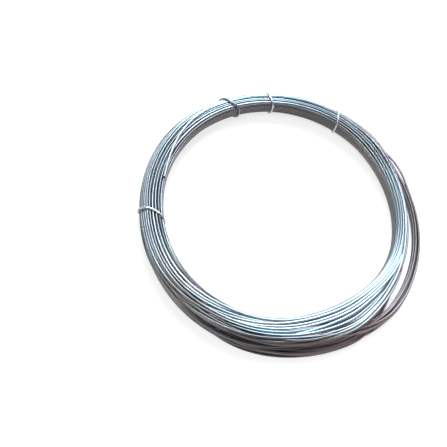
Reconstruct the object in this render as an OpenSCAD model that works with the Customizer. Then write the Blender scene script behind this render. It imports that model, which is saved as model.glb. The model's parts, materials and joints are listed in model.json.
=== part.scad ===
// A coil of bare platinum wire, laid flat.
//
// One length of round wire is wound into a loose ring and held by four wire
// ties. The turns lie close together near the ties and fan out on the far
// side, so the outermost turns run round a circle that is off the eye's
// centre. The coil is turned about two vertical axes: its outside about the
// origin, and its eye about eye_centre. It lies on the plane z = 0.

/* [Wire] */
// Diameter of the platinum wire
wire_d = 1.4; // [1:0.1:1.8]
// Number of turns in the coil
turns = 50; // [36:1:60]

/* [Coil] */
// Diameter of the eye, the clear hole that the wire was wound round
eye_d = 140; // [100:1:200]
// Height of the coil as it lies
coil_h = 13; // [11:0.5:16]
// Extra width of the coil where its turns fan out, over its tied side
fan_w = 7.6; // [4:0.2:14]
// Direction in which the turns fan out, in degrees from +X
fan_angle = -64; // [-180:1:180]
// Radius of the rounded edges round the eye, above and below
eye_edge_r = 4.4; // [2:0.1:4.6]
// Radius of the rounded upper edge round the outside
rim_top_r = 5.8; // [3:0.1:6]
// Radius of the rounded lower edge round the outside
rim_base_r = 3.8; // [2:0.1:4]

/* [Loose turns] */
// Widest part of the gap between the outermost turns and the rest
gap_w = 5.2; // [2:0.1:6]
// Width of the band of turns outside the gap
loose_w = 3; // [2.5:0.1:5]
// Direction of the middle of the gap, in degrees from +X
gap_angle = 12; // [-20:1:20]
// Angle that the gap spans
gap_span = 64; // [56:1:76]

/* [Ties] */
// Diameter of the wire that the ties are made of
tie_d = 1.1; // [0.8:0.1:1.4]
// Clearance between a tie and the turns that it holds
tie_gap = 0.1; // [0.05:0.01:0.3]
// How far a tie stands above the turns on top and outside
tie_proud = 0.4; // [0.1:0.05:0.5]

/* [Hidden] */
$fn = 96;

// Share of the space inside a tie that the wires fill
tied_fill = 0.74;
// Where each tie crosses the eye's edge, in degrees round the eye's centre,
// and how far its run across the turns is slanted from the radius there
left_tie = [209.5, -38];
upper_left_tie = [127.5, 38];
top_tie = [109.5, 18];
upper_right_tie = [74.5, 26];
// How much tighter a tie's bends are than the rounded edges they go round
tie_snug = 0.3;
// A cut runs this far past the face that it opens
past = 2;

wire_area = PI * pow(wire_d, 2) / 4;
tied_h = coil_h - 2 * tie_d;
tied_w = turns * wire_area / tied_fill / tied_h + 2 * tie_d;
// The rounded edges, limited by the tied side's width and by the height
eye_edge = to_hundredth(min(eye_edge_r, 0.42 * tied_w, 0.34 * coil_h));
rim_top = to_hundredth(min(rim_top_r, 0.55 * tied_w, 0.45 * coil_h));
rim_base = to_hundredth(min(rim_base_r, 0.4 * tied_w, 0.3 * coil_h));
eye_r = eye_d / 2;
coil_r = eye_r + tied_w + fan_w / 2;
eye_centre = polar(fan_w / 2, fan_angle + 180);

// The gap lies between two circles that meet at its ends: one round the
// coil's own centre, and a larger one, set back by gap_back
gap_r = coil_r - loose_w;
gap_back = gap_w * (2 * gap_r - gap_w) / 2 / (gap_r * (1 - cos(gap_span / 2)) - gap_w);
gap_inner_r = gap_r - gap_w + gap_back;

function polar(radius, angle) = radius * [cos(angle), sin(angle)];

function to_hundredth(value) = round(value * 100) / 100;

// How far along a line, from a point in a unit direction, it meets a circle
function reach(point, direction, centre, radius) =
    let (to_centre = centre - point, along = to_centre * direction)
    along + sqrt(pow(radius, 2) - to_centre * to_centre + pow(along, 2));

// Half of the section of a disc with the coil's outside
module disc_profile() {
    square([coil_r - rim_top, coil_h]);
    square([coil_r - rim_base, coil_h - rim_top]);
    translate([0, rim_base]) square([coil_r, coil_h - rim_top - rim_base]);
    translate([coil_r - rim_top, coil_h - rim_top]) circle(rim_top);
    translate([coil_r - rim_base, rim_base]) circle(rim_base);
}

// Half of the section of what the eye takes out, widening at both faces
module eye_profile() {
    edge_x = eye_r + eye_edge;
    difference() {
        translate([0, -past]) square([edge_x, coil_h + 2 * past]);
        translate([eye_r, eye_edge]) square([2 * eye_edge, coil_h - 2 * eye_edge]);
        translate([edge_x, eye_edge]) circle(eye_edge);
        translate([edge_x, coil_h - eye_edge]) circle(eye_edge);
    }
}

// The crescent gap inside the outermost turns
module gap() {
    rotate(gap_angle) translate([0, 0, -past])
    difference() {
        cylinder(r = gap_r, h = coil_h + 2 * past);
        translate([-gap_back, 0, -past]) cylinder(r = gap_inner_r, h = coil_h + 4 * past);
    }
}

// Round wire along a rounded rectangle, from its corner at the origin
module wire_loop(length, height, corner_r, thick) {
    corners = [[0, 0], [length, 0], [length, height], [0, height]];
    sides = [length, height, length, height];
    for (i = [0:3])
        translate(corners[i]) rotate(90 * i) {
            translate([corner_r[i], corner_r[i]]) rotate(180)
                rotate_extrude(angle = 90) translate([corner_r[i], 0]) circle(d = thick);
            translate([corner_r[i], 0]) rotate([0, 90, 0])
                cylinder(d = thick, h = sides[i] - corner_r[i] - corner_r[(i + 1) % 4]);
        }
}

// A tie at its place round the turns. It lies flush in the coil's underside
// and in the eye's wall, and stands proud on top and outside.
module tie(place, thick = tie_d) {
    sunk = tie_d / 2;
    start = eye_centre + polar(eye_r, place[0]);
    bearing = place[0] + place[1];
    run = polar(1, bearing);
    from = reach(start, run, eye_centre, eye_r + sunk);
    to = reach(start, run, [0, 0], coil_r - sunk + tie_proud);
    translate(start) rotate(bearing) translate([from, 0, sunk]) rotate([90, 0, 0])
        wire_loop(to_hundredth(to - from), coil_h - tie_d + tie_proud,
                  [eye_edge, rim_base, rim_top, eye_edge] - (sunk + tie_snug) * [1, 1, 1, 1],
                  thick);
}

module wire_coil() {
    color("silver")
    difference() {
        rotate_extrude() disc_profile();
        translate(eye_centre) rotate_extrude() eye_profile();
        gap();
        for (place = [left_tie, upper_left_tie, top_tie, upper_right_tie])
            tie(place, tie_d + 2 * tie_gap);
    }
}

module tie_left() color("gainsboro") tie(left_tie);

module tie_upper_left() color("gainsboro") tie(upper_left_tie);

module tie_top() color("gainsboro") tie(top_tie);

module tie_upper_right() color("gainsboro") tie(upper_right_tie);

wire_coil();
tie_left();
tie_upper_left();
tie_top();
tie_upper_right();
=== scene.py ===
# %% [markdown]
# A coil of platinum wire is one long wire, wound round and round and bound
# with four short pieces of wire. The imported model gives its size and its
# place, so it is loaded first, and everything below is measured from it. The
# packed coil is one plain turned ring; here it becomes real turns of wire.

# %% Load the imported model
import json
import math

import bpy
import numpy as np
from mathutils import Matrix, Vector


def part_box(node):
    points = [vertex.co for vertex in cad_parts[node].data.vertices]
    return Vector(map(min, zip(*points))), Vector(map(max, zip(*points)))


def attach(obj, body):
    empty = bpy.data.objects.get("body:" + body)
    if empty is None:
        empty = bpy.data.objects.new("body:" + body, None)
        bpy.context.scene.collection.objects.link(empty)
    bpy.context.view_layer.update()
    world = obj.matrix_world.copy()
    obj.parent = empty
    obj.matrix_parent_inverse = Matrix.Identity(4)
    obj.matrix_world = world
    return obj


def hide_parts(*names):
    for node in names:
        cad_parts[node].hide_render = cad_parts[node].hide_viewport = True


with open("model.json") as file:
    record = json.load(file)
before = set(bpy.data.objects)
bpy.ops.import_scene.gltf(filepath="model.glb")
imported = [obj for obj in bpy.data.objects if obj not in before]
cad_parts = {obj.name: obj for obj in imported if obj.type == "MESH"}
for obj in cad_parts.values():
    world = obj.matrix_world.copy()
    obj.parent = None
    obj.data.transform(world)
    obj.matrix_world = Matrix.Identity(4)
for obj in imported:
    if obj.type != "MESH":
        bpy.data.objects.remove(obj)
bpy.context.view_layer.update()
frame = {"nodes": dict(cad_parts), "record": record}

print("packed nodes:", ", ".join(sorted(frame["nodes"])))

# %% [markdown]
# The turns were wound round a former, so the hole in the middle, the eye, is
# a circle. The outside is a circle too, but off the eye's centre, since the
# turns lie close together on the tied side and fan out opposite it. Both
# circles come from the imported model. The eye's centre is the best middle for
# angles, because each turn goes once round it.

# %% Measure the coil
MM = 0.001
eye = next(mount for mount in frame["record"]["mounts"] if mount["name"] == "eye")
EYE_R = eye["dims"]["r_mm"] * MM
EYE_CENTRE = np.array(eye["pos_m"][:2])
coil_low, coil_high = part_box("wire_coil")
COIL_R = (coil_high[0] - coil_low[0]) / 2
COIL_H = coil_high[2]
WIRE_R = 0.7 * MM
TURNS = 50
print(f"eye {2 * EYE_R:.3f} m across, outside {2 * COIL_R:.3f} m, height {COIL_H:.4f} m")

# %% [markdown]
# Wire is springy, so the coil isn't two perfect circles. On the fanned side
# the innermost turns have sagged a little way into the eye, and in a few
# places the outermost turns stand out. A raised cosine is a good shape for
# such a bulge: it starts and ends without a corner. The coil's width is what
# lies between the two edges, and it is the room that the turns share.


# %% Distances from the eye's centre
def turned_by(angle, middle):
    """An angle measured from a middle one, between minus and plus half a turn."""
    return (angle - middle + math.pi) % math.tau - math.pi


def bulge(angle, middle, half, most):
    """How far an edge stands out at some angle, for a bulge in degrees and mm."""
    off = np.clip(turned_by(angle, math.radians(middle)) / math.radians(half), -1, 1)
    return most * MM * np.cos(off * math.pi / 2) ** 2


def circle_reach(angle, centre, radius):
    """How far from the eye's centre a circle is crossed in some direction."""
    away = np.asarray(centre) - EYE_CENTRE
    along = away[0] * np.cos(angle) + away[1] * np.sin(angle)
    return along + np.sqrt(radius ** 2 - away @ away + along ** 2)


# the middle of each bulge and half of the angle that it spans, in degrees, and its depth in mm
SAGS = [(-48, 50, 3.6), (50, 45, 1.0), (-125, 35, -1.2)]
SWELLS = [(0, 60, 1.5), (-38, 35, 1.2), (-95, 50, 1.7), (160, 45, 1.8)]


def inner_edge(angle):
    return EYE_R - sum(bulge(angle, *sag) for sag in SAGS)


def outer_edge(angle):
    return circle_reach(angle, (0, 0), COIL_R) + sum(bulge(angle, *swell) for swell in SWELLS)


# the places along one turn, from the middle of the tied side on
STATIONS = 120
START = math.radians(140)
station_angle = START + np.arange(STATIONS) * math.tau / STATIONS
inner = inner_edge(station_angle)
width = outer_edge(station_angle) - inner
print(f"the coil is {width.min() / MM:.1f} to {width.max() / MM:.1f} mm wide")

# %% [markdown]
# Cut the coil anywhere and the turns show as a packed section. They lie in
# layers, like the skins of an onion, because each turn was pulled tight over
# the ones before it. So a line is drawn in the section, one wire's radius in
# from its edge, and seats are set along it a wire's width apart. What doesn't
# fit there goes on the next line, further in. On the tied side the lines run
# all the way round. In the fan the turns have slipped down and outwards, so
# there they run up the eye's wall, over a narrow top and down a long slope.


# %% Lines that the layers of turns follow
# how round the section's corners are: on the eye's side, and outside at the top and at the base
EYE_EDGE, RIM_TOP, RIM_BASE = 4.4 * MM, 5.8 * MM, 3.8 * MM
SLOPE_WIDTH, RIDGE_HEIGHT = 9.5 * MM, 12.6 * MM
BEND_POINTS = 16
RIGHT, UP = np.array([1.0, 0]), np.array([0, 1.0])


def rounded(corner, way_in, way_out, radius, depth):
    """A bend round one corner of the section, at some depth inside it."""
    radius = max(radius, depth)
    centre = corner + radius * (way_out - way_in)
    turn = np.linspace(0, math.pi / 2, BEND_POINTS)[:, None]
    return centre + (radius - depth) * (way_in * np.sin(turn) - way_out * np.cos(turn))


def with_run(line):
    """A line's points, and how far along it each one is."""
    run = np.concatenate(([0], np.cumsum(np.linalg.norm(np.diff(line, axis=0), axis=1))))
    return line, run


def tied_line(wide, depth):
    """A closed layer, round all four corners of the section."""
    parts = [rounded(np.array([0, COIL_H]), UP, RIGHT, EYE_EDGE, depth),
             rounded(np.array([wide, COIL_H]), RIGHT, -UP, RIM_TOP, depth),
             rounded(np.array([wide, 0]), -UP, -RIGHT, RIM_BASE, depth),
             rounded(np.array([0, 0]), -RIGHT, UP, EYE_EDGE, depth)]
    return with_run(np.vstack([parts[-1][-1:]] + parts))


def fan_line(wide, depth):
    """An open layer, up the eye's wall, over the ridge and down the slope."""
    bend = rounded(np.array([0, RIDGE_HEIGHT]), UP, RIGHT, EYE_EDGE, depth)
    fall = np.array([SLOPE_WIDTH, -RIDGE_HEIGHT])
    fall = fall / np.linalg.norm(fall)
    below = np.array([wide - SLOPE_WIDTH, RIDGE_HEIGHT]) + depth * np.array([fall[1], -fall[0]])
    ridge, foot = (below + fall * (below[1] - height) / -fall[1]
                   for height in (RIDGE_HEIGHT - depth, WIRE_R))
    return with_run(np.vstack(([[depth, WIRE_R]], bend, [ridge], [foot])))


print(f"the outer layer is {tied_line(width.min(), WIRE_R)[1][-1] / MM:.0f} mm round")

# %% [markdown]
# The wire fills the inner layer first and then the next one, back and forth,
# so each seat is beside the last one. A seat is written as two shares, across
# and up, so that it can follow the coil's width as that changes. The last turn
# ends in a seat of its own, on top, where the wire's tail begins.

# %% Give each turn a seat
SEAT_PITCH, LAYER_PITCH = 2.04 * WIRE_R, 1.8 * WIRE_R
# how loosely a layer is filled, and the power that makes its gaps uneven
TIED_LOOSENESS, FAN_LOOSENESS = 1.10, 1.0
UNEVEN = 3
# where the tail begins and ends, as shares across the coil
TAIL_FROM, TAIL_TO = 0.62, -0.02


def along_a_layer(count, run):
    """Places along a layer: a wire's width apart, with the rest of the room in uneven gaps."""
    spare = np.random.default_rng(count).random(count + 1) ** UNEVEN
    gaps = spare / spare.sum() * (run - count * SEAT_PITCH)
    return (np.arange(count) + 0.5) * SEAT_PITCH + np.cumsum(gaps)[:-1]


def seats_in_layers(wide, layer_line, looseness):
    """A seat for each turn, in the order of winding, and one for the tail."""
    layers, left, depth = [], TURNS, WIRE_R
    while left:
        line, run = layer_line(wide, depth)
        count = min(int(run[-1] / SEAT_PITCH / looseness), left)
        where = along_a_layer(count, run[-1])
        layers.append(np.column_stack([np.interp(where, run, line[:, axis]) for axis in (0, 1)]))
        left, depth = left - count, depth + LAYER_PITCH
    print("turns in each layer, from outside:", [len(layer) for layer in layers])
    # the outermost layer is filled last, and towards the eye
    order = [layer if number % 2 else layer[::-1] for number, layer in enumerate(layers)]
    seats = (np.vstack(order[::-1]) - WIRE_R) / (np.array([wide, COIL_H]) - 2 * WIRE_R)
    return np.vstack((seats, [[TAIL_FROM, 1]]))


tied = seats_in_layers(width.min(), tied_line, TIED_LOOSENESS)
fan = seats_in_layers(width.max(), fan_line, FAN_LOOSENESS)

# %% [markdown]
# A coil wound by hand isn't that perfect. Every few turns, one hops over its
# neighbour or the one after, and the two have each other's seats from there
# on. Chance picks how far each one hops, from a numbered start, so that the
# coil comes out the same each time.

# %% Let some turns hop
random = np.random.default_rng(7)
HOP_EVERY, HOP_FURTHEST, LAST_HOP = 3, 2, TURNS - 4


def hop(seats, hops):
    """The seats, after some turns have changed places with a neighbour."""
    seats = seats.copy()
    for first, second in hops:
        seats[[first, second]] = seats[[second, first]]
    return seats


hops = [(first, first + random.integers(1, HOP_FURTHEST + 1))
        for first in range(0, LAST_HOP, HOP_EVERY)]
tied, fan = hop(tied, hops), hop(fan, hops)
print(len(hops), "turns hop over a neighbour")

# %% [markdown]
# Each turn is followed at even angles, starting in the middle of the tied
# side. On the tied side it keeps to its seat. In the fan it has room to move,
# so there it drifts over to the seat of the next turn, which makes the whole
# coil one unbroken wire. Each turn drifts at a place of its own. Where there
# is room, a slow sway is added too. A few sine waves of random size make it,
# because they come round to where they began.

# %% Drift and sway
# the drift to the next seat starts after the first angle, ends before the second, and takes the third
DRIFT_FROM, DRIFT_TO, DRIFT_SPAN = map(math.radians, (215, 322, 65))
SWAY_ACROSS, SWAY_UP, SWAY_WAVES = 0.02, 0.03, 4


def smooth_step(share):
    """A rise from 0 to 1 that starts and ends gently."""
    share = np.clip(share, 0, 1)
    return share * share * (3 - 2 * share)


def drift_share():
    """How far each turn has moved on to the next seat, at each station."""
    begin = DRIFT_FROM + random.random(TURNS + 1) * (DRIFT_TO - DRIFT_FROM - DRIFT_SPAN)
    return smooth_step((station_angle[None, :] - begin[:, None]) / DRIFT_SPAN)[:, :, None]


def sway():
    """A slow, even random sway of every turn about its seat."""
    total = np.zeros((TURNS + 1, STATIONS, 2))
    for waves in range(1, SWAY_WAVES + 1):
        size = random.normal(0, 1 / waves, (TURNS + 1, 1, 2))
        phase = random.random((TURNS + 1, 1, 2)) * math.tau
        total += size * np.sin(waves * station_angle[None, :, None] + phase)
    return total


print(f"a drift takes {math.degrees(DRIFT_SPAN):.0f} degrees")

# %% [markdown]
# Now the two sides are joined. The share of slack tells how wide the coil is
# at each station, from 0 on the tied side to 1 in the fan, and each turn's
# place is blended by it between its seats in the two sections. The wire's last
# end goes on past a full turn: it comes up on top, crosses the others and
# lies along the eye's edge.

# %% Lay out the turns
# the tail's length in stations
TAIL = 17


def between(first, second, share):
    """The first where the share is 0, the second where it is 1, and a mix where it is between."""
    return first * (1 - share) + second * share


slack = ((width - width.min()) / (width.max() - width.min()))[None, :, None]
drift = drift_share()
in_tied, in_fan = (between(seats[:, None], np.roll(seats, -1, axis=0)[:, None], drift)
                   for seats in (tied, fan))
share = between(in_tied, in_fan, smooth_step(slack))
share = np.clip(share + sway() * slack * (SWAY_ACROSS, SWAY_UP), 0, 1)
present = np.ones((TURNS + 1, STATIONS), bool)
present[TURNS, TAIL:] = False
share[TURNS, :, 0] = between(TAIL_FROM, TAIL_TO, smooth_step(np.arange(STATIONS) / TAIL))
share[TURNS, :, 1] = 1
home = WIRE_R + share * (np.stack((width, np.full(STATIONS, COIL_H)), axis=1) - 2 * WIRE_R)
print(f"{TURNS} turns and a tail, {STATIONS} stations to a turn")

# %% [markdown]
# On one side the ten outermost turns have sprung away from the rest and left
# a crescent that can be seen through. It lies between two circles that meet at
# its ends, so its edges come from the same helper as the outside's. The outer
# circle is round the coil's middle. The inner one is smaller and set back, by
# as much as makes it meet the outer one at the crescent's two ends.

# %% The edges of the crescent gap
GAP_WIDTH, LOOSE_WIDTH = 4.5 * MM, 3.7 * MM
GAP_ANGLE, GAP_HALF = math.radians(9), math.radians(36)
# how gently the loose turns move over: before the gap, after it, and inside its two ends
EASE_BEFORE, EASE_AFTER, EASE_INSIDE = map(math.radians, (40, 22, 8))

gap_r = COIL_R - LOOSE_WIDTH
gap_back = GAP_WIDTH * (2 * gap_r - GAP_WIDTH) / 2 / (gap_r * (1 - math.cos(GAP_HALF)) - GAP_WIDTH)
set_back = -gap_back * np.array([math.cos(GAP_ANGLE), math.sin(GAP_ANGLE)])
gap_outside = circle_reach(station_angle, (0, 0), gap_r) - inner
gap_inside = circle_reach(station_angle, set_back, gap_r - GAP_WIDTH + gap_back) - inner
from_gap = np.abs(turned_by(station_angle, GAP_ANGLE))
near_gap = from_gap < math.pi / 2
gap_open = (gap_outside > gap_inside) & near_gap
ease = np.where(turned_by(station_angle, GAP_ANGLE) < 0, EASE_BEFORE, EASE_AFTER)
gap_part = smooth_step((GAP_HALF + ease - from_gap) / (ease + EASE_INSIDE))
print(f"the gap is {(gap_outside - gap_inside).max() / MM:.1f} mm wide at its middle")

# %% [markdown]
# The loose turns lie low, close to what the coil rests on, so they get seats
# in a small stack of three columns outside the crescent, and every other row
# is moved half a column over, as round things stack. Each turn moves to its
# new seat and back gently. The turns inside the crescent are squeezed together
# a little, to make the room.

# %% Open the crescent gap
LOOSE_TURNS, LOOSE_COLUMNS = 10, 3
# the height of one loose row over the next, in wire radii
ROW_PITCH = 1.9
gap_middle = int(np.argmin(from_gap))
loose = np.argsort(-home[:TURNS, gap_middle, 0])[:LOOSE_TURNS]
loose = loose[np.argsort(home[loose, gap_middle, 1])]
is_loose = np.isin(np.arange(TURNS + 1), loose)
for count, turn in enumerate(loose):
    row, column = divmod(count, LOOSE_COLUMNS)
    across = (column + 0.5 * (row % 2)) / (LOOSE_COLUMNS - 0.5)
    across = gap_outside + WIRE_R + across * (width - gap_outside - 2 * WIRE_R)
    stacked = np.stack((across, np.full(STATIONS, WIRE_R * (1 + ROW_PITCH * row))), axis=1)
    home[turn] = between(home[turn], stacked, gap_part[:, None])
squeeze = np.minimum(1, (gap_inside - 2 * WIRE_R) / (width - 2 * WIRE_R))
squeeze = np.where(near_gap, squeeze, 1)
home[~is_loose, :, 0] = WIRE_R + (home[~is_loose, :, 0] - WIRE_R) * squeeze
print(len(loose), "loose turns, numbers", sorted(int(turn) for turn in loose))

# %% [markdown]
# Four ties pinch the turns together. Seen from above, a tie runs almost
# straight over the turns, from the eye's edge to the outside, and may slant. So each one is
# written down as the direction in which it crosses the eye's edge, and how
# far it slants from the radius there. A tie grips the turns that it goes
# round, and less and less to either side of it. A bell curve is used for
# that, because it has no edge at which the turns would kink.

# %% Where the ties pinch
TIE_R, TIE_PROUD = 0.55 * MM, 0.4 * MM
TIE_REACH = math.radians(9)
TIES = {"tie_left": (209.5, -38), "tie_upper_left": (127.5, 38),
        "tie_top": (109.5, 18), "tie_upper_right": (74.5, 26)}


def tie_line(name):
    """Where a tie's line starts on the eye's edge, its direction and its length."""
    angle, slant = map(math.radians, TIES[name])
    start = EYE_CENTRE + EYE_R * np.array([math.cos(angle), math.sin(angle)])
    run = np.array([math.cos(angle + slant), math.sin(angle + slant)])
    length = -start @ run + math.sqrt((start @ run) ** 2 - start @ start + COIL_R ** 2)
    return start, run, length


def tie_ends(name):
    """The directions of the two ends of a tie's line, from the eye's centre."""
    start, run, length = tie_line(name)
    return [math.atan2(*(point - EYE_CENTRE)[::-1]) for point in (start, start + run * length)]


def tie_grip(across):
    """How closely the ties grip, from 0 to 1, at each point of each turn."""
    grip = np.zeros(across.shape)
    for name in TIES:
        first, last = tie_ends(name)
        tie_angle = first + turned_by(last, first) * across / width
        grip = np.maximum(grip, np.exp(-(turned_by(station_angle, tie_angle) / TIE_REACH) ** 2))
    return grip


for name in TIES:
    print(f"{name} runs {tie_line(name)[2] / MM:.1f} mm across the turns")

# %% [markdown]
# The turns can't leave the space that holds them. Its walls are the eye's
# edge and the outside with their rounded corners, what the coil lies on, the
# top, and the two sides of the crescent. Under a tie the walls close in by
# the tie's own thickness. A point that is past a wall is moved straight back
# to it, and a point in a corner is moved back to the corner's arc.

# %% The walls that hold the turns
TINY = 1e-9
far_wall = np.where(gap_open & ~is_loose[:, None], np.minimum(width, gap_inside), width)
near_wall = np.where(gap_open & is_loose[:, None], gap_outside, 0)


def keep_inside(place):
    """The turns' places, with those that are past a wall moved back to it."""
    across, up = place[:, :, 0], place[:, :, 1]
    grip = tie_grip(across)
    low = WIRE_R + 2 * TIE_R * grip
    high = WIRE_R + (2 * TIE_R - TIE_PROUD) * grip
    across = np.clip(across, near_wall + low, far_wall - high)
    up = np.clip(up, low, COIL_H - high)
    outside, above = across > (near_wall + far_wall) / 2, up > COIL_H / 2
    edge = np.where(outside, np.where(above, RIM_TOP, RIM_BASE), EYE_EDGE)
    edge = np.minimum(edge, (far_wall - near_wall) / 2)
    from_side = np.where(outside, far_wall - across, across - near_wall)
    from_face = np.where(above, COIL_H - up, up)
    past_side, past_face = edge - from_side, edge - from_face
    length = np.hypot(past_side, past_face)
    room = edge - np.where(above | outside, high, low)
    corner = (past_side > 0) & (past_face > 0) & (length > room)
    scale = np.where(corner, room / np.maximum(length, TINY), 1)
    from_side = np.where(corner, edge - past_side * scale, from_side)
    from_face = np.where(corner, edge - past_face * scale, from_face)
    across = np.where(outside, far_wall - from_side, near_wall + from_side)
    return np.stack((across, np.where(above, COIL_H - from_face, from_face)), axis=2)


print(f"the walls are {(far_wall - near_wall).min() / MM:.1f} mm apart at the narrowest place")

# %% [markdown]
# Two pieces of wire can't be in one place. The seats ignore that, so the
# turns have to be pushed apart wherever they overlap. Wire is stiff as well,
# so it has to be straightened where a push has bent it. Both are done as a
# physics solver does them, with many small moves. A push works on all pairs of
# turns at each station at once, which is quick in arrays.

# %% Push and straighten
# how much of each move is made at once
STIFFNESS, PUSH = 0.5, 0.35


def straighten(offset):
    """Moves each point towards the middle of its two neighbours along the wire."""
    chain = offset.reshape(-1, offset.shape[-1]).copy()
    chain[1:-1] += STIFFNESS * ((chain[:-2] + chain[2:]) / 2 - chain[1:-1])
    return chain.reshape(offset.shape)


def push_apart(place, wanted):
    """The places after one push, and how deep the turns still were in each other."""
    gap = place[:, None] - place[None, :]
    distance = np.sqrt((gap ** 2).sum(axis=3)) + TINY
    overlap = np.clip(wanted - distance, 0, None)
    overlap[~(present[:, None] & present[None, :])] = 0
    overlap[np.arange(TURNS + 1), np.arange(TURNS + 1)] = 0
    push = (gap / distance[..., None] * overlap[..., None]).sum(axis=1)
    return place + PUSH * push, np.clip(overlap - wanted + 2 * WIRE_R, 0, None)


print(f"a push undoes {PUSH:.0%} of an overlap on each side")

# %% [markdown]
# One step straightens every turn, pushes the turns apart and puts them back
# inside the walls. After some hundreds of steps little moves any more. Away
# from the ties the turns also keep a little air between them, which lets the
# bundle swell out to its full width. A last straightening takes out the small
# kinks that the walls have left.

# %% Settle the turns
# the turns' extra room away from the ties, as a share of the wire's thickness
AIR = 0.04
# how much of its way from its seat a turn keeps at each step
KEPT = 0.998
STRAIGHTENED, STRAIGHTENED_AT_LAST = 3, 4
STEPS, QUICK_STEPS = 420, 120


def settle(steps):
    """The turns' places after some steps, and the last overlaps."""
    place = keep_inside(home)
    roomy = 1 + AIR * (1 - tie_grip(width[None, :] / 2)[0])
    for _ in range(steps):
        offset = (place - home) * KEPT
        for _ in range(STRAIGHTENED):
            offset = straighten(offset)
        place, overlap = push_apart(home + offset, 2 * WIRE_R * roomy)
        place = keep_inside(place)
    for _ in range(STRAIGHTENED_AT_LAST):
        place = straighten(place)
    return place, overlap


place, overlap = settle(STEPS)
print(f"deepest overlap left: {overlap.max() / (2 * WIRE_R):.0%} of the wire's thickness")

# %% [markdown]
# At one place on the outside a single turn has sprung loose and bows out
# from the rest. The turn that lies furthest out there is the one that could,
# so it is found and moved out over a smooth hump.

# %% Let one turn bow out
BOW_FROM, BOW_TO = map(math.radians, (26, 58))
BOW_OUT = 2.0 * MM
bow_share = np.clip(((station_angle - BOW_FROM) % math.tau) / (BOW_TO - BOW_FROM), 0, 1)
bow = np.sin(math.pi * bow_share) ** 2
bowed = int(np.argmax((place[:TURNS, :, 0] * bow).sum(axis=1)))
place[bowed, :, 0] += BOW_OUT * bow
print("the loose turn is number", bowed)

# %% [markdown]
# The settled places are joined into one line through space. Stations that are
# 3 degrees apart would show as corners, so a smooth curve is passed through
# them and read at closer points. It is made of short cubic pieces. Each goes
# from one point to the next, and at both its ends it runs in the direction
# that joins the points before and after, so no corner is left.

# %% A smooth line
FINER = 1.5


def finer(chain):
    """Points on a smooth curve through the chain, closer together than its own."""
    ahead = np.vstack((chain[1:], chain[-1:]))
    behind = np.vstack((chain[:1], chain[:-1]))
    further = np.vstack((ahead[1:], ahead[-1:]))
    where = np.arange(0, len(chain) - 1, 1 / FINER)
    base = where.astype(int)
    step = (where - base)[:, None]
    p0, p1, p2, p3 = behind[base], chain[base], ahead[base], further[base]
    return p1 + 0.5 * ((p2 - p0) * step + (2 * p0 - 5 * p1 + 4 * p2 - p3) * step ** 2
                       + (3 * p1 - p0 - 3 * p2 + p3) * step ** 3)


print(f"a turn is drawn with {FINER * STATIONS:.0f} points")

# %% [markdown]
# A Blender curve with a round bevel is the natural tool to turn a line into
# wire: it needs only the middle line, and its section stays round at every
# bend. It is then made a mesh, and the loose rims of its two end caps are
# merged. Smooth shading hides its few sides, and the rims at its two ends
# stay sharp.

# %% Draw a wire
BEVEL_STEPS = 2
# points closer than this part of the radius are merged, and edges flatter than this are smooth
SAME_PLACE, SMOOTH_BELOW = 0.01, math.radians(60)


def draw_wire(name, points, radius):
    """A mesh of round wire, whose middle line goes through the points."""
    curve = bpy.data.curves.new(name, "CURVE")
    curve.dimensions = "3D"
    curve.bevel_depth = radius
    curve.bevel_resolution = BEVEL_STEPS
    curve.use_fill_caps = True
    spline = curve.splines.new("POLY")
    spline.points.add(len(points) - 1)
    spline.points.foreach_set("co", np.column_stack((points, np.ones(len(points)))).ravel())
    spline.use_smooth = True
    wire = bpy.data.objects.new(name, curve)
    bpy.context.collection.objects.link(wire)
    bpy.ops.object.select_all(action="DESELECT")
    wire.select_set(True)
    bpy.context.view_layer.objects.active = wire
    bpy.ops.object.convert(target="MESH")
    wire = bpy.context.object
    bpy.ops.object.mode_set(mode="EDIT")
    bpy.ops.mesh.select_all(action="SELECT")
    bpy.ops.mesh.remove_doubles(threshold=radius * SAME_PLACE)
    bpy.ops.mesh.normals_make_consistent(inside=False)
    bpy.ops.object.mode_set(mode="OBJECT")
    bpy.ops.object.shade_smooth_by_angle(angle=SMOOTH_BELOW)
    return wire


print(f"a wire is drawn with {4 + 2 * BEVEL_STEPS} sides")

# %% [markdown]
# The coil is the first wire to be drawn. Each place on it is written as a
# distance from the eye's centre, a height, and an angle that grows by a full
# turn each time round. Smoothing them in that form keeps every turn round, and
# only then are they turned into points in space. The finished wire takes the
# packed ring's place, and it rides on the same body.


# %% Draw the coil
def on_the_coil(chain):
    """Points in space from (distance from the eye's centre, height, angle)."""
    radius, up, angle = chain.T
    return np.column_stack((EYE_CENTRE[0] + radius * np.cos(angle),
                            EYE_CENTRE[1] + radius * np.sin(angle), up))


chain = np.dstack((inner + place[:, :, 0], place[:, :, 1],
                   station_angle + math.tau * np.arange(TURNS + 1)[:, None]))
route = on_the_coil(finer(chain.reshape(-1, 3)[:TURNS * STATIONS + TAIL]))
wire_length = np.linalg.norm(np.diff(route, axis=0), axis=1).sum()
coil = draw_wire("platinum_wire", route, WIRE_R)
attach(coil, "root")
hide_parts("wire_coil")
print(f"{wire_length:.2f} m of wire, {len(coil.data.polygons)} faces")

# %% [markdown]
# Each tie is a short length of soft wire, pulled tight round the bundle. Where
# it lies can be found, not guessed, because the tie's line cuts every turn
# that it goes round once. Two of the ties stray a little from their line, so
# the places are looked for along the strayed line. A turn that is cut at a
# slant counts as wider.

# %% Find what a tie goes round
# how far each tie strays sideways between its two ends
TIE_BULGE = {"tie_left": -2.4 * MM, "tie_upper_left": 0, "tie_top": 0.5 * MM, "tie_upper_right": 0}


def strayed(name, along):
    """How far a tie is beside its line, at some distances along it."""
    length = tie_line(name)[2]
    return TIE_BULGE[name] * np.sin(np.clip(along / length, 0, 1) * math.pi)


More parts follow.
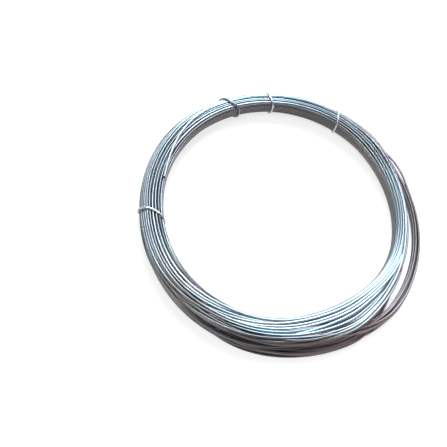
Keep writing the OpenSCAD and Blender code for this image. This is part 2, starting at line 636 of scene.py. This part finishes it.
def crossings(name):
    """Where the turns cross a tie's line: along it, up, and how wide each looks."""
    start, run, length = tie_line(name)
    side = np.array([-run[1], run[0]])
    along, off = (route[:, :2] - start) @ run, (route[:, :2] - start) @ side
    off = off - strayed(name, along)
    crossed = np.flatnonzero((off[:-1] * off[1:] < 0) & (np.abs(along[:-1] - length / 2) < length))
    part = off[crossed] / (off[crossed] - off[crossed + 1])
    ways = np.diff(route, axis=0)[crossed]
    slant = np.abs(ways[:, :2] @ side) / np.linalg.norm(ways, axis=1)
    points = route[crossed] + ways * part[:, None]
    return (points[:, :2] - start) @ run, points[:, 2], 1 / slant


for name in TIES:
    print(f"{name} goes round {len(crossings(name)[0])} turns")

# %% [markdown]
# A wire pulled tight round a set of round things follows their hull, the shape
# that a rubber band would take. To find it, the points are sorted from one
# side to the other and walked along. Each one at which the walk would turn
# the wrong way is dropped. The walk back gives the other half of the line.


# %% The line of a rubber band
def turns_right(first, second, third):
    """Whether the way over three points turns right, or goes straight on."""
    (ax, ay), (bx, by) = second - first, third - second
    return ax * by - ay * bx <= 0


def hull(points):
    """The corners of the tightest closed line round some points, anticlockwise."""
    points = points[np.lexsort((points[:, 1], points[:, 0]))]

    def half(points):
        line = []
        for point in points:
            while len(line) > 1 and turns_right(line[-2], line[-1], point):
                line.pop()
            line.append(point)
        return line[:-1]
    return np.array(half(points) + half(points[::-1]))


def evenly(points, spacing):
    """Points at even distances along the same line."""
    run = np.concatenate(([0], np.cumsum(np.linalg.norm(np.diff(points, axis=0), axis=1))))
    where = np.linspace(0, run[-1], int(run[-1] / spacing))
    return np.column_stack([np.interp(where, run, column) for column in points.T])


corners = np.array([(0, 0), (1, 0), (1, 1), (0, 1), (0.5, 0.5)])
print("the hull of a square and its middle has", len(hull(corners)), "corners")

# %% [markdown]
# Each turn that a tie crosses is drawn as a small circle of points, and the
# hull of all the points is the tie's loop. The loop is left a little open, like
# one turn of a screw, so that its two ends pass each other. It begins where
# those ends will be twisted: low on the outside, or in the eye for one tie.

# %% Loop a tie round the turns
CIRCLE = np.linspace(0, math.tau, 24, endpoint=False)
TIE_STEP, TWIST_UP = 0.35 * MM, 3.2 * MM
TWIST_INSIDE = {"tie_left"}


def tie_loop(name):
    """One loop round the turns: along the tie's line, beside it, and up."""
    along, up, wide = crossings(name)
    reach = WIRE_R + TIE_R
    ring = np.column_stack(((along[:, None] + reach * wide[:, None] * np.cos(CIRCLE)).ravel(),
                            (up[:, None] + reach * np.sin(CIRCLE)).ravel()))
    ring[:, 1] = np.maximum(ring[:, 1], TIE_R)
    ring = hull(ring)
    ring = evenly(np.vstack((ring, ring[:1])), TIE_STEP)
    right_side = (ring[:, 0] > np.median(along)) != (name in TWIST_INSIDE)
    begin = int(np.argmin(np.where(right_side, np.abs(ring[:, 1] - TWIST_UP), 1)))
    ring = np.roll(ring[:-1], -begin, axis=0)
    ring = np.vstack((ring, ring[:1]))
    return np.column_stack((ring[:, 0], np.linspace(-TIE_R, TIE_R, len(ring)), ring[:, 1]))


for name in TIES:
    print(f"{name}: a loop of {len(tie_loop(name))} points")

# %% [markdown]
# A tie is closed by twisting its two ends together with pliers. Both ends
# leave the loop where it begins, go straight out from the bundle, bend to lie
# along it, and wind round each other like two threads. So each end is a
# line through the middle of the twist, moved aside by a wire's radius in a
# direction that turns, and the two are half a turn apart.

# %% Twist the ends together
TWIST_TURNS, TWIST_LENGTH = 2.5, 5 * MM
# the bend takes the first third of the twist
BEND_RATE = 3


def twisted_ends(name, begin):
    """The two ends of a tie, each from the loop's beginning outwards."""
    start, run, length = tie_line(name)
    way_out = (EYE_CENTRE - start) / EYE_R if name in TWIST_INSIDE else (start + run * length) / COIL_R
    lean = math.atan2(run[0] * way_out[1] - run[1] * way_out[0], run @ way_out)
    steps = np.linspace(0, 1, int(TWIST_LENGTH / TIE_STEP))[1:]
    bend = lean + np.clip(steps * BEND_RATE, 0, 1) * math.pi / 2
    heading = np.column_stack((np.cos(bend), np.sin(bend)))
    heading = np.cumsum(heading, axis=0) * TWIST_LENGTH / len(steps)
    spin = steps * TWIST_TURNS * math.tau
    for sign in (-1, 1):
        aside = sign * TIE_R * np.cos(spin)
        yield np.column_stack((begin[0] + heading[:, 0] - aside * np.sin(bend),
                               heading[:, 1] + aside * np.cos(bend),
                               begin[2] + sign * TIE_R * np.sin(spin)))


print(f"two ends of {TWIST_LENGTH / MM:.0f} mm, with {TWIST_TURNS} turns of twist")

# %% [markdown]
# One end, the loop and the other end make one line. Averaging each point with
# its neighbours rounds the corners that stiff wire can't make. The line is
# then moved from the tie's own directions into space, where it strays a
# little from the straight, as the real ones do, and it is drawn like the coil.


# %% Draw the ties
def tie_points(name):
    """A tie's middle line in space, from one end to the other."""
    loop = tie_loop(name)
    first, last = twisted_ends(name, loop[0])
    line = np.vstack((first[::-1], loop, last))
    for _ in range(STRAIGHTENED):
        line = straighten(line)
    start, run, _ = tie_line(name)
    side = np.array([-run[1], run[0]])
    beside = line[:, 1] + strayed(name, line[:, 0])
    return np.column_stack((start + line[:, :1] * run + beside[:, None] * side, line[:, 2]))


ties = []
for name in TIES:
    points = tie_points(name)
    tie = draw_wire(name + "_wire", points, TIE_R)
    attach(tie, "root")
    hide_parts(name)
    ties.append(tie)
    print(f"{name}: {np.linalg.norm(np.diff(points, axis=0), axis=1).sum() / MM:.0f} mm of wire")

# %% [markdown]
# A material is a small net of nodes. The same few nodes are needed again and
# again, so each kind gets a helper of its own, and the materials below read
# like sentences. The first ones add a node, a noise, and a stretch of the
# coordinates that a pattern follows.


# %% Helpers for materials
def new_material(name):
    """A new material and its main shader."""
    material = bpy.data.materials.new(name)
    material.use_nodes = True
    return material, material.node_tree.nodes["Principled BSDF"]


def node(tree, kind, **settings):
    """A new node of some kind. The helpers below give one of its outputs."""
    made = tree.nodes.new("ShaderNode" + kind)
    for key, value in settings.items():
        setattr(made, key, value)
    return made


def noise(tree, place, scale, detail):
    made = node(tree, "TexNoise")
    made.inputs["Scale"].default_value = scale
    made.inputs["Detail"].default_value = detail
    tree.links.new(place, made.inputs["Vector"])
    return made.outputs["Fac"]


def stretched(tree, place, scale):
    made = node(tree, "Mapping")
    made.inputs["Scale"].default_value = scale
    tree.links.new(place, made.inputs["Vector"])
    return made.outputs["Vector"]


print("helpers: new_material, node, noise, stretched")

# %% [markdown]
# A noise is a grey value around a half. To be of use it is turned into
# another range, and then it can blend two colours, or be a roughness. The
# blend takes a plain colour or the result of another node on either side.


# %% Helpers for values and colours
def ramp(tree, value, low, high, to_low=0, to_high=1):
    """A value that goes from one number to another between low and high."""
    made = node(tree, "MapRange")
    for key, number in (("From Min", low), ("From Max", high), ("To Min", to_low), ("To Max", to_high)):
        made.inputs[key].default_value = number
    tree.links.new(value, made.inputs["Value"])
    return made.outputs["Result"]


def blend_colour(tree, share, first, second):
    """The first colour where the share is 0, the second one where it is 1."""
    made = node(tree, "Mix", data_type="RGBA")
    tree.links.new(share, made.inputs["Factor"])
    for socket, colour in zip([s for s in made.inputs if s.type == "RGBA"], (first, second)):
        if isinstance(colour, tuple):
            socket.default_value = (*colour, 1)
        else:
            tree.links.new(colour, socket)
    return next(s for s in made.outputs if s.type == "RGBA")


print("helpers: ramp, blend_colour")

# %% [markdown]
# No two lengths of the wire have the same tone. The tone changes at random
# between a blue, a painted reflection of blue sky, and a plain grey. Some
# lengths are painted much darker, painted shade like the shade between groups
# of turns. Towards the fan there are fewer of these dark lengths and on the
# tied side more, so the fan side is painted lighter, as if lit. The wire's own
# UV map makes this easy: one of its values is the share along the wire, so a
# noise that follows only that value changes from turn to turn and never across
# one. The last end of the wire keeps the plain grey, a painted highlight where
# it lies on top.

# %% Tones along the wire
# the way to the fan's middle, and where along it the change towards the fan starts and is full
FAN_WAY = math.radians(-62)
FAN_FROM, FAN_TO = -30 * MM, 60 * MM
# what the noise of the painted dark lengths gains on either side: more painted shade on the tied side,
# less in the fan
TIED_SHADE, FAN_SHADE = 0.06, -0.12
# how many times each noise changes in one turn, and the range of it that is used
HUE_LENGTHS, HUE_RANGE = 2, (0.4, 0.6)
SHADE_LENGTHS, SHADE_RANGE = 3, (0.42, 0.60)
# the shares along the wire between which its end becomes the plain grey, a painted highlight
LIT_END = (0.9965, 0.9975)


def toward_fan(tree, where, least, most):
    """A value that changes from the tied side to the fan."""
    way = node(tree, "VectorMath", operation="DOT_PRODUCT")
    tree.links.new(where.outputs["Object"], way.inputs[0])
    way.inputs[1].default_value = (math.cos(FAN_WAY), math.sin(FAN_WAY), 0)
    return ramp(tree, way.outputs["Value"], FAN_FROM, FAN_TO, least, most)


def tones_along(tree, where, bright, shaded, wire_turns):
    """A colour that changes along the wire, between two bright ones, with dark lengths of painted
    shade.
    """
    hues = noise(tree, stretched(tree, where.outputs["UV"], (wire_turns * HUE_LENGTHS, 0, 1)), 1, 0)
    shade_noise = noise(tree, stretched(tree, where.outputs["UV"], (wire_turns * SHADE_LENGTHS, 0, 1)), 1, 2)
    shade_share = node(tree, "Math", operation="ADD")
    tree.links.new(shade_noise, shade_share.inputs[0])
    tree.links.new(toward_fan(tree, where, TIED_SHADE, FAN_SHADE), shade_share.inputs[1])
    along = node(tree, "SeparateXYZ")
    tree.links.new(where.outputs["UV"], along.inputs[0])
    metal = blend_colour(tree, ramp(tree, hues, *HUE_RANGE), *bright)
    metal = blend_colour(tree, ramp(tree, shade_share.outputs[0], *SHADE_RANGE), metal, shaded)
    return blend_colour(tree, ramp(tree, along.outputs["X"], *LIT_END), metal, bright[1])


# the painted dark lengths are rarest here
print("dull lengths are rarest at", round(math.degrees(FAN_WAY)), "degrees")

# %% [markdown]
# The coil is painted darker low down and on the rim at the front: painted shade.
# On the rim at the right it is painted a mauve tinge, a painted reflection of
# the room. So it depends on the place on the coil and not on the wire: Object
# coordinates give the height, the side and the distance from the middle. Each
# painted tone is blended over the metal by a share between 0 and 1.

# %% Painted shade on the lower turns and the rims
# where each painted tone starts and where it is full: in height, to one side, and away from the middle
SHADE_HEIGHT = 12.3 * MM, 9.3 * MM
FRONT_RIM_SHADE = "Y", (-50 * MM, -66 * MM), (75 * MM, 77.5 * MM)
RIGHT_RIM_PAINT = "X", (8 * MM, 40 * MM), (79 * MM, 80.5 * MM)


def rim_share(tree, where, axis, side, rim):
    """1 at the rim of one side of the coil, 0 elsewhere."""
    place = node(tree, "SeparateXYZ")
    tree.links.new(where.outputs["Object"], place.inputs[0])
    from_axis = node(tree, "VectorMath", operation="LENGTH")
    tree.links.new(stretched(tree, where.outputs["Object"], (1, 1, 0)), from_axis.inputs[0])
    share = node(tree, "Math", operation="MULTIPLY")
    tree.links.new(ramp(tree, place.outputs[axis], *side), share.inputs[0])
    tree.links.new(ramp(tree, from_axis.outputs["Value"], *rim), share.inputs[1])
    return share.outputs[0]


def with_painted_shade(tree, where, metal, low_painted_shade, right_rim_tone):
    """The metal's colour, with painted shade low down and painted tones on the rims over it."""
    place = node(tree, "SeparateXYZ")
    tree.links.new(where.outputs["Object"], place.inputs[0])
    metal = blend_colour(tree, ramp(tree, place.outputs["Z"], *SHADE_HEIGHT), metal, low_painted_shade)
    metal = blend_colour(tree, rim_share(tree, where, *FRONT_RIM_SHADE), metal, low_painted_shade)
    return blend_colour(tree, rim_share(tree, where, *RIGHT_RIM_PAINT), metal, right_rim_tone)


# the painted shade is full below this height
print(f"the film is full below {SHADE_HEIGHT[1] / MM:.1f} mm")

# %% [markdown]
# Platinum wire is drawn through dies, which leaves it bright, with fine lines
# along it. A metal's colour is the colour of its reflection, so the shader is
# fully metallic and the tones above go into its base colour. The lines are a
# very shallow bump that is stretched along the wire. The roughness is uneven,
# which breaks up the long highlights a little and keeps the metal from looking
# like plastic. In the fan, where the turns rub, the polish is a bit more satin.

# %% Drawn metal
POLISH, SATIN = (0.28, 0.36), 0.03
PATCH_SCALE, PATCH_RANGE = 90, (0.3, 0.7)
LINES_ALONG, LINES_ROUND = 9, 22
LINE_STRENGTH, LINE_DEPTH = 0.12, 0.02 * MM


def drawn_metal(name, bright, shaded, painted_tones, wire_turns):
    """Metal with lines along the wire and uneven polish, for a wire with a UV map."""
    material, shader = new_material(name)
    tree = material.node_tree
    where = node(tree, "TexCoord")
    metal = tones_along(tree, where, bright, shaded, wire_turns)
    tree.links.new(with_painted_shade(tree, where, metal, *painted_tones), shader.inputs["Base Color"])
    shader.inputs["Metallic"].default_value = 1
    patches = noise(tree, where.outputs["Object"], PATCH_SCALE, 3)
    polish = node(tree, "Math", operation="ADD")
    tree.links.new(ramp(tree, patches, *PATCH_RANGE, *POLISH), polish.inputs[0])
    tree.links.new(toward_fan(tree, where, 0, SATIN), polish.inputs[1])
    tree.links.new(polish.outputs[0], shader.inputs["Roughness"])
    along = stretched(tree, where.outputs["UV"], (wire_turns * LINES_ALONG, LINES_ROUND, 1))
    bump = node(tree, "Bump")
    bump.inputs["Strength"].default_value = LINE_STRENGTH
    bump.inputs["Distance"].default_value = LINE_DEPTH
    tree.links.new(noise(tree, along, 1, 1), bump.inputs["Height"])
    tree.links.new(bump.outputs["Normal"], shader.inputs["Normal"])
    return material


# the blue is a painted reflection of the sky, and the dark tone is painted shade
BLUE_REFLECTION, WARM, SHADED_TONE = (0.51, 0.68, 0.78), (0.66, 0.67, 0.71), (0.16, 0.17, 0.18)
# painted shade, and the painted mauve reflection on the right rim
GREY_PAINTED_SHADE, MAUVE_PAINTED_REFLECTION = (0.225, 0.21, 0.215), (0.28, 0.235, 0.245)
platinum = drawn_metal("platinum", (BLUE_REFLECTION, WARM), SHADED_TONE, (GREY_PAINTED_SHADE, MAUVE_PAINTED_REFLECTION), TURNS)
coil.data.materials.append(platinum)
print("platinum on", coil.name)

# %% [markdown]
# The ties are the same kind of metal, annealed so that it bends easily. They
# get lighter colours than the coil, and a lighter painted shade. One of them is
# painted darker and violet all over, painted shade for the dark room that it
# reflects. The same helper makes both finishes, with other colours. A tie goes
# round the bundle once, so its noise is not divided over many turns.

# %% Tie materials
# two bright colours, a darker one for painted shade, and the colour of the painted shade low down and
# on the rims
NEW_BRIGHT, NEW_TIE_SHADED_TONE = ((0.90, 0.90, 0.92), (0.92, 0.91, 0.90)), (0.80, 0.80, 0.82)
DARK_TIE_TONES, DARK_TIE_SHADED_TONE = ((0.40, 0.40, 0.50), (0.44, 0.42, 0.50)), (0.30, 0.30, 0.38)
NEW_TIE_PAINTED_SHADE, DARK_TIE_PAINTED_SHADE = (0.60, 0.60, 0.60), (0.25, 0.25, 0.32)
# the tie that is painted dark all over, painted shade
DARK_PAINTED_TIES = {"tie_upper_left"}
new_wire = drawn_metal("soft_wire", NEW_BRIGHT, NEW_TIE_SHADED_TONE, (NEW_TIE_PAINTED_SHADE, NEW_TIE_PAINTED_SHADE), 1)
dark_tie_metal = drawn_metal("shaded_tie_wire", DARK_TIE_TONES, DARK_TIE_SHADED_TONE, (DARK_TIE_PAINTED_SHADE, DARK_TIE_PAINTED_SHADE), 1)
for name, tie in zip(TIES, ties):
    tie.data.materials.append(dark_tie_metal if name in DARK_PAINTED_TIES else new_wire)
    print(tie.data.materials[0].name, "on", tie.name)

# %% [markdown]
# The floor is a plain white table. To stay white without more light on the
# object, part of its brightness is its own glow, which only rays from the
# camera, from glossy metal and through glass can see. The rest is a plain
# matt surface, and that part takes the object's shadow.

# %% Floor
FLOOR_SIDE, FLOOR_MATT, FLOOR_GLOW = 8, 0.4, 0.75
bpy.ops.object.select_all(action="DESELECT")
bpy.ops.mesh.primitive_plane_add(size=FLOOR_SIDE, location=(0, 0, 0))
floor = bpy.context.object
floor.name = "floor"
paper = new_material("white_floor")[0]
tree = paper.node_tree
tree.nodes.clear()
rays = node(tree, "LightPath")
seen = rays.outputs["Is Camera Ray"]
for other in ("Is Glossy Ray", "Is Transmission Ray"):
    either = node(tree, "Math", operation="MAXIMUM")
    tree.links.new(seen, either.inputs[0])
    tree.links.new(rays.outputs[other], either.inputs[1])
    seen = either.outputs[0]
glow = node(tree, "Emission")
tree.links.new(ramp(tree, seen, 0, 1, to_high=FLOOR_GLOW), glow.inputs["Strength"])
matt = node(tree, "BsdfDiffuse")
matt.inputs["Color"].default_value = (FLOOR_MATT, FLOOR_MATT, FLOOR_MATT, 1)
both = node(tree, "AddShader")
output = node(tree, "OutputMaterial")
tree.links.new(matt.outputs[0], both.inputs[0])
tree.links.new(glow.outputs[0], both.inputs[1])
tree.links.new(both.outputs[0], output.inputs["Surface"])
floor.data.materials.append(paper)
print("floor", tuple(round(side) for side in floor.dimensions[:2]), "m")

# %% [markdown]
# Bright metal shows the room it is in, so the room matters more than any one
# lamp. It is a dim, warm dome with a few soft bright places: blue sky behind
# the coil, two lamps and three pale walls. Each is brightest in its middle
# and fades out smoothly, which keeps the stripes on the turns soft. Low down
# the room is white all round, so that the floor seems to go on.

# %% What is bright in the room
DIM_ROOM = (0.05, 0.045, 0.04)
# the direction from the coil, the angles from it, in degrees, at which the
# light starts to fade and is gone, and its strength and colour in one
BRIGHT_PLACES = {
    "sky": ((-0.06, 0.76, 0.64), 4.5, 18, (3.0, 4.6, 5.5)),
    "high sky": ((0, 0.44, 0.90), 4.5, 18, (0.5, 0.65, 1.1)),
    "ceiling lamp": ((-0.35, -0.15, 0.90), 3, 12, (11, 11, 10.5)),
    "far lamp": ((0.20, 0.66, 0.72), 2.2, 9, (14, 14.5, 15)),
    "left wall": ((-0.80, 0.20, 0.50), 11, 45, (0.19, 0.28, 0.24)),
    "right wall": ((0.70, 0.10, 0.70), 10, 40, (0.40, 0.33, 0.35)),
    "far wall": ((0.35, 0.60, 0.72), 7, 28, (0.55, 0.36, 0.40)),
    "white surround": ((0, 0, -1), 95, 100, (0.92, 0.92, 0.92)),
}
print("the room has", ", ".join(BRIGHT_PLACES))

# %% [markdown]
# All of it is part of the world's shader, so it lights the coil and shows in
# its metal in the same way. The dot product of two directions tells how close
# they are, so one node measures that, a second one fades the light, and a
# third one adds it, in its colour, to what is there already.

# %% Room
world = bpy.data.worlds.new("room")
world.use_nodes = True
tree = world.node_tree
look = node(tree, "TexCoord").outputs["Generated"]
total = node(tree, "RGB").outputs[0]
total.default_value = (*DIM_ROOM, 1)
for direction, fades, gone, colour in BRIGHT_PLACES.values():
    nearness = node(tree, "VectorMath", operation="DOT_PRODUCT")
    tree.links.new(look, nearness.inputs[0])
    nearness.inputs[1].default_value = Vector(direction).normalized()
    fades, gone = math.cos(math.radians(fades)), math.cos(math.radians(gone))
    fade = ramp(tree, nearness.outputs["Value"], gone, fades)
    fade.node.interpolation_type = "SMOOTHSTEP"
    lit = node(tree, "VectorMath", operation="MULTIPLY_ADD")
    tree.links.new(fade, lit.inputs[0])
    lit.inputs[1].default_value = colour
    tree.links.new(total, lit.inputs[2])
    total = lit.outputs[0]
tree.links.new(total, tree.nodes["Background"].inputs["Color"])
bpy.context.scene.world = world
print("the world has", len(tree.nodes), "nodes")

# %% [markdown]
# The main light comes from a window that is high up behind the coil and a
# little to its left. Turns that run across its direction catch it along their
# whole top, and turns that run towards it don't, so it makes one side of the
# ring bright and leaves the next one grey. That is what tells the eye that
# this is metal. An area lamp is used, since its straight edges keep that
# change crisp. It faces the coil, and is turned by the direction that its
# lower edge follows.

# %% Window
WINDOW_WAY, WINDOW_ALONG = (-0.22, 0.665, 0.71), (0.34, 0.24, -0.11)
WINDOW_AWAY, WINDOW_WIDE, WINDOW_HIGH = 1.2, 0.46, 0.66
WINDOW_POWER, WINDOW_COLOUR = 12, (0.78, 0.96, 1.0)
window_data = bpy.data.lights.new("window", "AREA")
window_data.shape = "RECTANGLE"
window_data.size, window_data.size_y = WINDOW_WIDE, WINDOW_HIGH
window_data.energy = WINDOW_POWER
window_data.color = WINDOW_COLOUR
window = bpy.data.objects.new("window", window_data)
facing = Vector(WINDOW_WAY).normalized()
upright = facing.cross(Vector(WINDOW_ALONG)).normalized()
window.matrix_world = Matrix((upright.cross(facing), upright, facing)).transposed().to_4x4()
window.location = facing * WINDOW_AWAY
bpy.context.collection.objects.link(window)
print(f"window {WINDOW_WIDE} by {WINDOW_HIGH} m, {WINDOW_AWAY} m away")

# %% [markdown]
# The camera looks down at the coil from the front at 64 degrees and is rolled
# a little, so the coil seems to lean. It looks past the coil, to its left,
# which puts the coil to the right of the middle. A rotation in the order ZYX
# lets the roll be written down as one number.

# %% Camera
CAMERA_UP, CAMERA_ROLL = math.radians(64.02), math.radians(18.65)
CAMERA_AIM, CAMERA_DISTANCE = np.array([-31.66, -15.36, 0]) * MM, 387.44 * MM
SENSOR_WIDTH, VIEW_HALF = 36, math.radians(19)
camera_data = bpy.data.cameras.new("camera")
camera_data.sensor_width = SENSOR_WIDTH
camera_data.lens = SENSOR_WIDTH / 2 / math.tan(VIEW_HALF)
camera = bpy.data.objects.new("camera", camera_data)
bpy.context.collection.objects.link(camera)
bpy.context.scene.camera = camera
back = np.array([0, -math.cos(CAMERA_UP), math.sin(CAMERA_UP)])
camera.location = CAMERA_AIM + CAMERA_DISTANCE * back
camera.rotation_mode = "ZYX"
camera.rotation_euler = (math.pi / 2 - CAMERA_UP, 0, CAMERA_ROLL)
bpy.context.scene.view_settings.view_transform = "Standard"
print("camera at", [round(value, 3) for value in camera.location])
